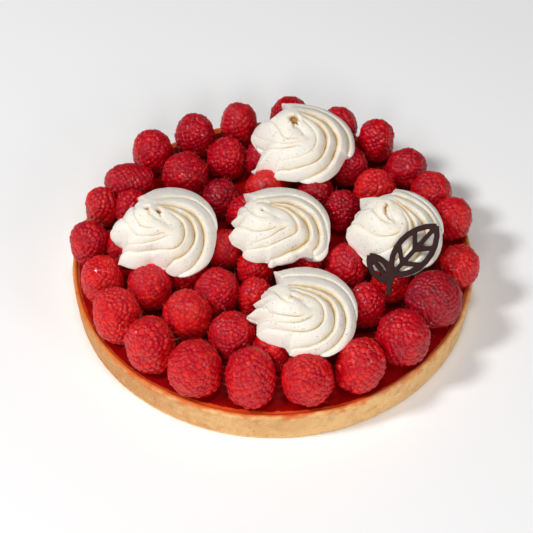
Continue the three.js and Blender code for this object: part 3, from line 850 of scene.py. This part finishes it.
def roundTable(pairs, angles):  # a closed smooth curve through angle and value pairs
    known = np.array(sorted(pairs), dtype=float)
    count = len(known)
    at = np.searchsorted(known[:, 0], angles, side="right") - 1
    spots = [known[(at + step) % count] for step in (-1, 0, 1, 2)]
    start = spots[1][:, 0]
    run = (spots[2][:, 0] - start) % 360
    part = ((angles - start) % 360) / run
    before, first, second, after = (spot[:, 1] for spot in spots)
    back = (first - before) / ((start - spots[0][:, 0]) % 360) * run
    ahead = (after - second) / ((spots[3][:, 0] - spots[2][:, 0]) % 360) * run
    step = second - first
    leave = np.where(step * back > 0, 0.5 * (back + step), 0)
    arrive = np.where(step * ahead > 0, 0.5 * (ahead + step), 0)
    squared = part * part
    cubed = squared * part
    return (first * (2 * cubed - 3 * squared + 1) + leave * (cubed - 2 * squared + part)
            + second * (3 * squared - 2 * cubed) + arrive * (cubed - squared))


def window(width):  # weights of a soft running mean
    weights = np.hanning(width)
    return weights / weights.sum()


def outlines(one, angles):  # the real outline, and a calm one for the top of the dome
    lapped = np.tile(roundTable(one["edge"], np.arange(360)), 3)
    calm = np.convolve(lapped, window(creamSettings["calmWindow"]), mode="same")[360:720]
    exact = roundTable(one["edge"], angles.ravel() % 360).reshape(angles.shape)
    return exact, np.interp(angles % 360, np.arange(361), np.append(calm, calm[0]))


def crestLine(one, turn):  # a narrow loop along the crest, where the dome's lines end
    tip = np.array(one["tip"], dtype=float)
    low = np.array(one["low"], dtype=float)
    heading = math.atan2(low[1] - tip[1], low[0] - tip[0])
    crest = (tip + low) / 2 + np.cos(turn - heading)[..., None] * (low - tip) / 2
    aside = 0.9 * np.sin(turn - heading)
    return (crest[..., 0] - aside * math.sin(heading), crest[..., 1] + aside * math.cos(heading),
            crest[..., 2])


def domePoints(one, share, angles):  # the plain rosette before its folds
    form = creamSettings
    turn = np.radians(angles)
    inside = np.minimum(share, 1)
    below = np.maximum(share - 1, 0)  # from 0 at the widest line to 1 at the base
    exact, calm = outlines(one, angles)
    outline = calm + (exact - calm) * inside ** form["calmPower"]
    reach = one["radius"] * outline
    for at, tip in one["spikes"]:
        spike = tip * np.exp(-np.abs(turnGap(angles, at)) / form["spikeWidth"])
        reach = reach + spike * inside ** 8 * np.exp(-3 * below)
    crestX, crestY, crestZ = crestLine(one, turn)
    rimZ = one["mid"] + one["tilt"] * np.cos(turn - math.radians(form["tiltHeading"]))
    z = rimZ + (crestZ - rimZ) * (1 - inside ** form["fullness"]) ** form["roundness"]
    z = z + (form["base"] - z) * below
    draw = 1 - form["skirtDraw"] * below ** 1.8
    x = (crestX + (reach * np.cos(turn) - crestX) * inside) * draw
    y = (crestY + (reach * np.sin(turn) - crestY) * inside) * draw
    return np.stack([x + one["at"][0], y + one["at"][1], z], -1), inside * outline / calm


def foldLine(points):  # a fold's ring at every degree, and how fast that changes
    known = np.array(points, dtype=float)
    width = creamSettings["foldWindow"]
    angle = np.arange(known[0, 0] - creamSettings["foldStart"],
                      known[-1, 0] + creamSettings["foldEnd"])
    ring = np.interp(angle, known[:, 0], known[:, 1])
    startSlope = (known[1, 1] - known[0, 1]) / (known[1, 0] - known[0, 0])
    early = angle < known[0, 0]
    ring[early] = known[0, 1] + startSlope * (angle[early] - known[0, 0])
    soft = np.convolve(np.pad(ring, width // 2, mode="edge"), window(width), mode="valid")
    return angle, soft, np.gradient(soft) / math.radians(1)


def foldProfile(strength, outward, inward, softSide):  # a soft slope down, then a steep wall
    form = creamSettings
    slant = form["softShare"] * np.exp(inward / softSide)
    slant = slant + (1 - form["softShare"]) * np.exp(inward / form["softNear"])
    wall = form["wallShare"] * np.exp(-outward / form["sharpSide"])
    wall = wall + (1 - form["wallShare"]) * np.exp(-outward / form["crestRun"])
    crevice = np.clip(strength, 0, 1) * np.exp((inward - outward) / form["creviceWidth"])
    return strength * slant * wall + form["crevice"] * crevice


def foldDepth(one, share, held, angles):  # how deep each point lies, how near a fold for the painted shade along it, how it leans
    form = creamSettings
    depth, seamShade, lean, leanTurn = np.zeros((4, *angles.shape))
    inside = np.minimum(share, 1)
    wound = angles - form["skirtWind"] * np.maximum(share - 1, 0)
    toEdge = smoothStep(inside, form["edgeFrom"], 1)
    onCrest = smoothStep(inside, 0.02, 0.14) * (0.35 + 0.65 * smoothStep(inside, 0.15, 0.5))
    softSide = form["softSide"] * (0.3 + 0.7 * smoothStep(inside, 0.1, 0.55))
    for deep, atEdge, points in one["folds"]:
        angle, ring, slopes = foldLine(points)
        for lap in (-360, 0, 360):
            at = wound + lap
            spanned = (at > angle[0]) & (at < angle[-1])
            if not spanned.any():
                continue
            line = np.interp(at, angle, ring)
            slope = np.interp(at, angle, slopes) / np.maximum(line, 0.08)
            across = (held - line) * one["radius"] / np.sqrt(1 + slope * slope)
            outward = np.maximum(across, 0)
            inward = np.minimum(across, 0)
            strength = (deep + (atEdge - deep) * toEdge) * onCrest * spanned
            strength = strength * smoothStep(angle[-1] - at, 0, form["dieOut"])
            strength = strength * (1 - 0.45 * np.clip(share - 1, 0, 1))
            depth = np.maximum(depth, foldProfile(strength, outward, inward, softSide))
            # painted shade: a narrow dark line along each fold
            seamShade = np.maximum(seamShade, np.clip(strength, 0, 1) * np.exp(
                -(across / form["seamShadeWidth"]) ** 2))
            over = np.exp(inward / form["overhangStart"] - outward / form["overhangRun"])
            over = over * form["overhang"] * np.clip(strength / 1.5, 0, 1.4)
            leanTurn = np.where(over > lean, np.arctan(slope), leanTurn)
            lean = np.maximum(lean, over)
    return depth, seamShade, lean, leanTurn


def creaseDepth(one, points):  # short folds and hollows on the crest, placed from above
    sink = np.zeros(points.shape[:2])
    for depth, width, line in one["creases"]:
        corners = np.array(line) + np.array(one["at"])
        for number, (start, finish) in enumerate(zip(corners[:-1], corners[1:])):
            along = finish - start
            spot = points[..., :2] - start
            part = np.clip((spot @ along) / (along @ along), 0, 1)
            away = np.linalg.norm(spot - part[..., None] * along, axis=-1)
            fade = 1 - 0.7 * (number + part) / (len(corners) - 1)
            sink = np.maximum(sink, depth * fade * np.exp(-(away / width) ** 1.5))
    for x, y, radius, depth in one["hollows"]:
        away = np.linalg.norm(points[..., :2] - (one["at"][0] + x, one["at"][1] + y), axis=-1)
        sink = np.maximum(sink, depth * np.exp(-(away / radius) ** 2.5))
    return sink


def unit(vectors):
    return vectors / np.maximum(np.linalg.norm(vectors, axis=-1, keepdims=True), 1e-9)


def creamTones(share, angles, sink, seamShade, crease):  # painted shade: golden in the folds and along their seams, beige towards the middle and more golden on the right side; browner in the pits
    # painted shade: the folds more golden on the right side, away from the light, and beige towards the
    # middle
    shadeRightward = 0.62 + 0.38 * np.cos(np.radians(angles - 10))
    foldShade = np.clip(sink / 2.4, 0, 1) * shadeRightward + 0.32 * smoothStep(share, 0.75, 0.1)
    foldShade = np.maximum(foldShade + 0.25 * seamShade, np.clip(crease / 1.8, 0, 1))
    foldShade = np.clip(foldShade, 0, 1) * smoothStep(share, 1.15, 0.85)
    # painted shade: browner in the pits and hollows
    return {"foldShade": withPoles(foldShade), "pitShade": withPoles(smoothStep(crease, 0.9, 2.2))}


def buildRosette(one, material):
    form = creamSettings
    columns = form["columns"]
    inside = np.linspace(0, 1, form["rings"] + 1)[1:]
    below = 1 + np.linspace(0, 1, form["skirtRings"] + 1)[1:]
    share, angles = np.meshgrid(
        np.concatenate([inside, below]), np.arange(columns) * 360 / columns, indexing="ij")
    plain, held = domePoints(one, share, angles)
    down = np.gradient(plain, axis=0)
    beside = (np.roll(plain, -1, 1) - np.roll(plain, 1, 1)) / 2
    normal = unit(np.cross(down, beside))
    depth, seamShade, lean, leanTurn = foldDepth(one, share, held, angles)
    crease = creaseDepth(one, plain) * (share < 0.6)
    sink = np.maximum(depth, crease)
    flat = plain * (1, 1, 0.7)
    ripple = grainAt(flat, form["rippleSize"]) * form["ripple"]
    torn = bell(angles, form["raggedSide"], form["raggedWidth"], 4) * smoothStep(share, 0.85, 1)
    torn = torn * grainAt(flat + 30, form["raggedSize"], 2) * form["ragged"]
    calm = smoothStep(2 - share, 0, 0.3)
    uphill = -unit(down) * np.cos(leanTurn)[..., None]
    toFold = unit(uphill + unit(beside) * np.sin(leanTurn)[..., None])
    points = plain - normal * ((sink - ripple - torn) * calm)[..., None]
    points = points + toFold * (lean * calm)[..., None]
    points[-1, :, 2] = form["base"]
    top = points[0].mean(axis=0)
    foot = points[-1].mean(axis=0)
    faces = ringFaces(len(points), columns)
    points = np.vstack([top, points.reshape(-1, 3), foot])
    tones = creamTones(share, angles, sink, seamShade, crease)
    piece = makePiece(one["node"] + "_piping", points, faces, material, tones)
    return settle(piece, "cream", one["node"])


def buildCreams():
    material = creamMaterial()
    return [buildRosette(one, material) for one in rosettes]


# Chocolate sprig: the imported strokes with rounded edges

sprigSettings = {
    "weld": 0.02, "voxel": 0.28, "smoothing": 6,  # mm, and rounds of smoothing
    "look": {
        "surface": {"Roughness": 0.5, "Specular IOR Level": 0.15},
        "dark": (46, 22, 20), "paler": (54, 27, 25),
    },
}


def chocolateMaterial():
    look = sprigSettings["look"]
    material, bench, shader, place = startMaterial("dark chocolate", look["surface"])
    patch = bench.noise(place, 240, 3)
    bench.feed(shader.inputs["Base Color"], bench.paint(
        look, "dark", (bench.remap(patch, 0.35, 0.7), "paler")))
    bench.feed(shader.inputs["Normal"], bench.bump(patch, 0.12, 0.2 * mm))
    return material


def buildSprig():
    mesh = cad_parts["chocolate_sprig"].data.copy()
    mesh.name = "sprig_strokes"
    piece = bpy.data.objects.new("sprig_strokes", mesh)
    bpy.context.scene.collection.objects.link(piece)
    weld = piece.modifiers.new("weld", "WELD")
    weld.merge_threshold = sprigSettings["weld"] * mm
    remesh = piece.modifiers.new("remesh", "REMESH")
    remesh.mode = "VOXEL"
    remesh.voxel_size = sprigSettings["voxel"] * mm
    smooth = piece.modifiers.new("smooth", "SMOOTH")
    smooth.factor = 0.5
    smooth.iterations = sprigSettings["smoothing"]
    graph = bpy.context.evaluated_depsgraph_get()
    done = bpy.data.meshes.new_from_object(piece.evaluated_get(graph), depsgraph=graph)
    piece.modifiers.clear()
    piece.data = done
    done.materials.clear()
    done.materials.append(chocolateMaterial())
    done.shade_smooth()
    return settle(piece, "chocolate", "chocolate_sprig")


# Fine hairs on the berries

hairSettings = {  # density for each square metre, sizes in mm
    "density": 18000.0, "length": 2.7, "thickness": 0.075, "seed": 7,
    "shortest": 0.45,  # share of the length
    "lowest": 22,      # height below which there are none
    "look": {
        "surface": {"Roughness": 0.5}, "scale": 500,
        "dark": (196, 108, 84), "pale": (234, 168, 146),
    },
}


def hairShape(bench, thickness, length):  # about one metre long, three sides, bent and thinner up
    line = bench.make("GeometryNodeCurveQuadraticBezier", {
        "Resolution": 3, "Start": (0, 0, -0.1), "Middle": (0, 0, 0.55), "End": (0.35, 0.1, 1.0)})
    along = bench.add("GeometryNodeSplineParameter").outputs["Factor"]
    thin = bench.make("GeometryNodeSetCurveRadius", {
        "Curve": line, "Radius": bench.math("SUBTRACT", 1.0, bench.times(along, 0.7))})
    ring = bench.make("GeometryNodeCurvePrimitiveCircle", {"Resolution": 3, "Radius": 0.5})
    ratio = bench.math("DIVIDE", thickness, length)
    profile = bench.make("GeometryNodeTransform", {
        "Geometry": ring, "Scale": bench.combine(ratio, ratio, ratio)})
    return bench.make("GeometryNodeCurveToMesh", {
        "Curve": thin, "Profile Curve": profile, "Fill Caps": True})


def hairTree():
    bench, given = startTree("berry hairs", {
        "Berries": "Collection", "Density": "Float", "Length": "Float", "Thickness": "Float",
        "Shortest": "Float", "Lowest": "Float", "Least x": "Float", "Most x": "Float",
        "Least y": "Float", "Most y": "Float", "Seed": "Int", "Straw": "Material"})
    fruit = bench.realize(bench.make("GeometryNodeCollectionInfo", {
        "Collection": given["Berries"]}))
    x, y, z = bench.split(bench.make("GeometryNodeInputPosition"))
    shown = bench.math("GREATER_THAN", z, given["Lowest"])
    for along, low, high in ((x, "Least x", "Most x"), (y, "Least y", "Most y")):
        before = bench.math("SUBTRACT", along, given["Length"])
        beyond = bench.math("ADD", along, given["Length"])
        shown = bench.times(shown, bench.math("GREATER_THAN", before, given[low]),
                            bench.math("LESS_THAN", beyond, given[high]))
    spots = bench.add("GeometryNodeDistributePointsOnFaces", {
        "Mesh": fruit, "Selection": shown, "Density": given["Density"],
        "Seed": given["Seed"]}).outputs
    size = bench.times(bench.random(given["Shortest"], 1.0, given["Seed"]), given["Length"])
    stray = bench.random((-1.3, -1.3, -3.0), (1.3, 1.3, 3.0), given["Seed"])
    stray = bench.make("FunctionNodeEulerToRotation", {0: stray})
    facing = bench.make("FunctionNodeRotateRotation", {0: spots["Rotation"], 1: stray},
                        rotation_space="LOCAL")
    hairs = bench.make("GeometryNodeInstanceOnPoints", {
        "Points": spots[0], "Rotation": facing, "Scale": bench.combine(size, size, size),
        "Instance": hairShape(bench, given["Thickness"], given["Length"])})
    return endTree(bench, hairs, given["Straw"])


def buildHairs(berries):
    form = hairSettings
    (leastX, leastY, _), (mostX, mostY, _) = cadBox
    hairs = growPiece("berry_hairs", hairTree(), {
        "Berries": gather("berries", berries), "Density": form["density"],
        "Length": form["length"] * mm, "Thickness": form["thickness"] * mm,
        "Shortest": form["shortest"], "Lowest": form["lowest"] * mm, "Least x": leastX,
        "Most x": mostX, "Least y": leastY, "Most y": mostY, "Seed": form["seed"],
        "Straw": twoToneMaterial("berry hairs", hairSettings["look"])})
    return settle(hairs, "berry")


# Vanilla seeds in the cream

speckSettings = {  # density for each square metre, sizes in mm
    "density": 60000.0, "size": 0.23, "lowest": 36, "seed": 3,
    "look": {
        "surface": {"Roughness": 0.7}, "scale": 700,
        "dark": (76, 68, 64), "pale": (140, 128, 118),
    },
}


def speckTree():
    bench, given = startTree("vanilla seeds", {
        "Creams": "Collection", "Density": "Float", "Size": "Float", "Lowest": "Float",
        "Seed": "Int", "Vanilla": "Material"})
    cream = bench.realize(bench.make("GeometryNodeCollectionInfo", {
        "Collection": given["Creams"]}))
    high = bench.split(bench.make("GeometryNodeInputPosition"))[2]
    spots = bench.add("GeometryNodeDistributePointsOnFaces", {
        "Mesh": cream, "Selection": bench.math("GREATER_THAN", high, given["Lowest"]),
        "Density": given["Density"], "Seed": given["Seed"]}).outputs
    size = bench.random((0.4, 0.4, 0.35), (1.4, 1.0, 0.5), given["Seed"])
    specks = bench.make("GeometryNodeInstanceOnPoints", {
        "Points": spots[0], "Rotation": spots["Rotation"],
        "Instance": bench.make("GeometryNodeMeshIcoSphere", {"Radius": 1.0, "Subdivisions": 1}),
        "Scale": bench.scaled(size, given["Size"])})
    return endTree(bench, specks, given["Vanilla"])


def buildSpecks(creams):
    form = speckSettings
    specks = growPiece("vanilla_seeds", speckTree(), {
        "Creams": gather("creams", creams), "Density": form["density"],
        "Size": form["size"] * mm, "Lowest": form["lowest"] * mm, "Seed": form["seed"],
        "Vanilla": twoToneMaterial("vanilla seed", speckSettings["look"])})
    return settle(specks, "cream")


# Floor, light and camera

studio = {
    "floor": (252, 252, 252), "floorHalf": 4.0, "world": 0.04,  # half the floor's side in m
    "lamps": {  # place and size in m, and power in W
        "key": {"at": (-1.1, -0.3, 1.4), "size": 0.32, "power": 18.4},
        "front": {"at": (-0.1, -1.3, 0.95), "size": 0.4, "power": 7.4},
        "right": {"at": (1.2, -1.1, 0.8), "size": 0.5, "power": 5.2},
        "top": {"at": (0.1, -0.2, 2.5), "size": 0.6, "power": 13.8},
    },
}
lens = {  # place and lengths in mm, angles in degrees
    "at": (4.04, -551.3, 619.8), "down": 47.855, "yaw": -0.7645, "roll": -0.5176,
    "length": 109.21, "sensor": 36,
}


def buildFloor():
    half = studio["floorHalf"]
    mesh = bpy.data.meshes.new("floor")
    mesh.from_pydata([(-half, -half, 0), (half, -half, 0), (half, half, 0), (-half, half, 0)], [],
                     [(0, 1, 2, 3)])
    floor = bpy.data.objects.new("floor", mesh)
    bpy.context.scene.collection.objects.link(floor)
    mesh.materials.append(startMaterial("pale floor", {
        "Roughness": 0.6, "Base Color": linearColour(*studio["floor"])})[0])


def buildLight():
    scene = bpy.context.scene
    scene.world = bpy.data.worlds.new("studio")
    scene.world.use_nodes = True
    background = scene.world.node_tree.nodes["Background"]
    background.inputs["Strength"].default_value = studio["world"]
    background.inputs["Color"].default_value = (1, 1, 1, 1)
    for name, lamp in studio["lamps"].items():
        light = bpy.data.lights.new(name, "AREA")
        light.shape = "SQUARE"
        light.size = lamp["size"]
        light.energy = lamp["power"]
        holder = bpy.data.objects.new(name, light)
        holder.location = lamp["at"]
        holder.rotation_euler = Vector(lamp["at"]).to_track_quat("Z", "Y").to_euler()
        scene.collection.objects.link(holder)
    scene.view_settings.view_transform = "Standard"


def buildCamera():
    down, yaw, roll = (math.radians(lens[angle]) for angle in ("down", "yaw", "roll"))
    level = math.cos(down)
    ahead = Vector((math.sin(yaw) * level, math.cos(yaw) * level, -math.sin(down)))
    aside = ahead.cross(Vector((0, 0, 1))).normalized()
    upright = aside.cross(ahead)
    right = math.cos(roll) * aside + math.sin(roll) * upright
    up = math.cos(roll) * upright - math.sin(roll) * aside
    camera = bpy.data.cameras.new("camera")
    camera.lens = lens["length"]
    camera.sensor_width = lens["sensor"]
    camera.clip_end = 20
    holder = bpy.data.objects.new("camera", camera)
    axes = Matrix((right, up, -ahead)).transposed().to_4x4()
    axes.translation = Vector(lens["at"]) * mm
    holder.matrix_world = axes
    bpy.context.scene.collection.objects.link(holder)
    bpy.context.scene.camera = holder


def main():
    buildFloor()
    buildLight()
    buildCamera()
    print("floor, light and camera ready")
    buildCrust()
    print("crust ready")
    berries = buildBerries()
    print("berries ready:", len(berries))
    buildJam(berries)
    print("glaze ready")
    creams = buildCreams()
    print("rosettes ready:", len(creams))
    buildSprig()
    print("sprig ready")
    buildHairs(berries)
    buildSpecks(creams)
    print("hairs and vanilla ready")


main()
